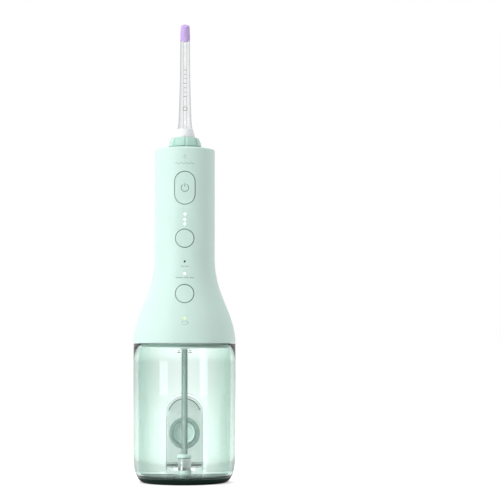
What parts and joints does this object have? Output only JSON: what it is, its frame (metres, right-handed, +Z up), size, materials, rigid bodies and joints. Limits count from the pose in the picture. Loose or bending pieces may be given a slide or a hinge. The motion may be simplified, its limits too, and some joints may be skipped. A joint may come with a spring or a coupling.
{
  "type": "cordless water flosser",
  "caption": "Cordless water flosser: clear tank under a slim mint handle with push buttons, a motor-driven piston pump inside and a pull-off bent-tip nozzle on a turning collar.",
  "frame": {"origin": "centre of the underside of the tank's foot, on the surface it stands on", "axes": "+Z up through the nozzle, -Y the front with the buttons, +X to the right of someone looking at the buttons"},
  "size_m": [0.068, 0.068, 0.3058],
  "materials": {
    "sleeve_mint": "satin mint green",
    "collar_mint": "satin mint green",
    "button_mint": "fine matt",
    "cover_mint": "soft matt flap",
    "door_mint": "satin",
    "tank_clear": "clear, faint green tint",
    "foot_dark": "matt",
    "seal_dark": "matt",
    "silicone_pale": "matt",
    "keypad_grey": "matt",
    "steel": "bright",
    "motor_steel": "drawn can",
    "weight_chrome": "polished",
    "magnet_grey": "matt",
    "winding_copper": "enamelled windings",
    "pinion_brass": "cut",
    "battery_blue": "shrink sleeve",
    "board_green": "solder mask",
    "black_plastic": "matt",
    "led_body": "matt",
    "inner_white": "moulded",
    "pump_grey": "moulded",
    "gear_white": "moulded",
    "hose_clear": "soft clear hose",
    "light_white": "lit",
    "light_dark": "unlit",
    "light_green": "lit",
    "nozzle_white": "milky",
    "nozzle_clear": "clear",
    "tip_purple": "satin lilac"
  },
  "bodies": {
    "tank": {"tank_shell": "tank_clear", "base_foot": "foot_dark", "door_frame": "door_mint", "door_hinge_pin": "steel"},
    "fill_door": {"fill_door": "door_mint", "door_seal": "silicone_pale"},
    "handle": {"outer_sleeve": "sleeve_mint", "top_cap": "sleeve_mint", "bulkhead": "inner_white", "tank_seal": "seal_dark", "bulkhead_screws": "steel", "chassis": "inner_white", "chassis_screws": "steel", "motor_can": "motor_steel", "motor_magnets": "magnet_grey", "motor_end_cap": "black_plastic", "battery_cell": "battery_blue", "battery_tabs": "steel", "circuit_board": "board_green", "board_screws": "steel", "tact_switches": "black_plastic", "led_chips": "led_body", "control_chip": "black_plastic", "keypad_seal": "keypad_grey", "white_lights": "light_white", "unlit_light": "light_dark", "battery_light": "light_green", "pump_cylinder": "inner_white", "pump_head": "pump_grey", "head_screws": "steel", "pump_valves": "silicone_pale", "gear_axle": "steel", "axle_washer": "steel", "inlet_tube": "hose_clear", "outlet_tube": "hose_clear", "nozzle_socket": "inner_white", "socket_seal": "seal_dark", "charge_socket": "black_plastic", "intake_hose_upper": "hose_clear"},
    "collar": {"nozzle_collar": "collar_mint", "collar_clip": "steel"},
    "nozzle": {"nozzle_base": "nozzle_white", "nozzle_tube": "nozzle_clear", "nozzle_tip": "tip_purple"},
    "power_button": {"power_button": "button_mint"},
    "intensity_button": {"intensity_button": "button_mint"},
    "mode_button": {"mode_button": "button_mint"},
    "charge_cover": {"charge_cover": "cover_mint"},
    "intake_link": {"intake_hose_middle": "hose_clear"},
    "intake_end": {"intake_hose_lower": "hose_clear", "hose_cap": "door_mint", "intake_weight": "weight_chrome", "intake_filter": "door_mint"},
    "motor_rotor": {"motor_shaft": "steel", "motor_armature": "winding_copper", "drive_pinion": "pinion_brass"},
    "crank_gear": {"crank_gear": "gear_white"},
    "connecting_rod": {"connecting_rod": "gear_white"},
    "piston": {"piston": "gear_white", "piston_seal": "seal_dark"}
  },
  "joints": [
    {"name": "handle_lift", "type": "slide", "parent": "tank", "child": "handle", "axis": [0, 0, 1], "range_m": [0, 0.13]},
    {"name": "fill_door_hinge", "type": "hinge", "parent": "tank", "child": "fill_door", "pos_m": [0, 0.0303, 0.011], "axis": [-1, 0, 0], "range_deg": [0, 90]},
    {"name": "collar_turn", "type": "hinge", "parent": "handle", "child": "collar", "pos_m": [0, 0, 0.2185], "axis": [0, 0, 1], "continuous": true},
    {"name": "nozzle_pull", "type": "slide", "parent": "collar", "child": "nozzle", "axis": [0, 0, 1], "range_m": [0, 0.032]},
    {"name": "power_press", "type": "slide", "parent": "handle", "child": "power_button", "axis": [0, 1, 0], "range_m": [0, 0.0007], "stiffness_N_per_m": 1000},
    {"name": "intensity_press", "type": "slide", "parent": "handle", "child": "intensity_button", "axis": [0, 1, 0], "range_m": [0, 0.0007], "stiffness_N_per_m": 1000},
    {"name": "mode_press", "type": "slide", "parent": "handle", "child": "mode_button", "axis": [0, 1, 0], "range_m": [0, 0.0007], "stiffness_N_per_m": 1000},
    {"name": "charge_cover_hinge", "type": "hinge", "parent": "handle", "child": "charge_cover", "pos_m": [0, 0.02253, 0.12665], "axis": [-1, 0, 0], "range_deg": [0, 90]},
    {"name": "intake_swing_front_back", "type": "hinge", "parent": "handle", "child": "intake_link", "pos_m": [0, 0, 0.08], "axis": [1, 0, 0], "range_deg": [-13, 13]},
    {"name": "intake_swing_side", "type": "hinge", "parent": "intake_link", "child": "intake_end", "pos_m": [0, 0, 0.0617], "axis": [0, 1, 0], "range_deg": [-16, 16]},
    {"name": "motor_spin", "type": "hinge", "parent": "handle", "child": "motor_rotor", "pos_m": [0, 0.0025, 0.125], "axis": [0, 0, 1], "continuous": true},
    {"name": "crank_turn", "type": "hinge", "parent": "handle", "child": "crank_gear", "pos_m": [0.012, 0.0025, 0.11], "axis": [0, 0, 1], "continuous": true},
    {"name": "rod_level", "type": "hinge", "parent": "crank_gear", "child": "connecting_rod", "pos_m": [0.00925, 0.0025, 0.107], "axis": [0, 0, 1], "continuous": true},
    {"name": "piston_stroke", "type": "slide", "parent": "handle", "child": "piston", "axis": [1, 0, 0], "range_m": [0, 0.0055]}
  ],
  "couplings": [
    {"joint": "crank_turn", "follows": "motor_spin", "ratio": -0.33333},
    {"joint": "rod_level", "follows": "motor_spin", "ratio": 0.33333}
  ]
}
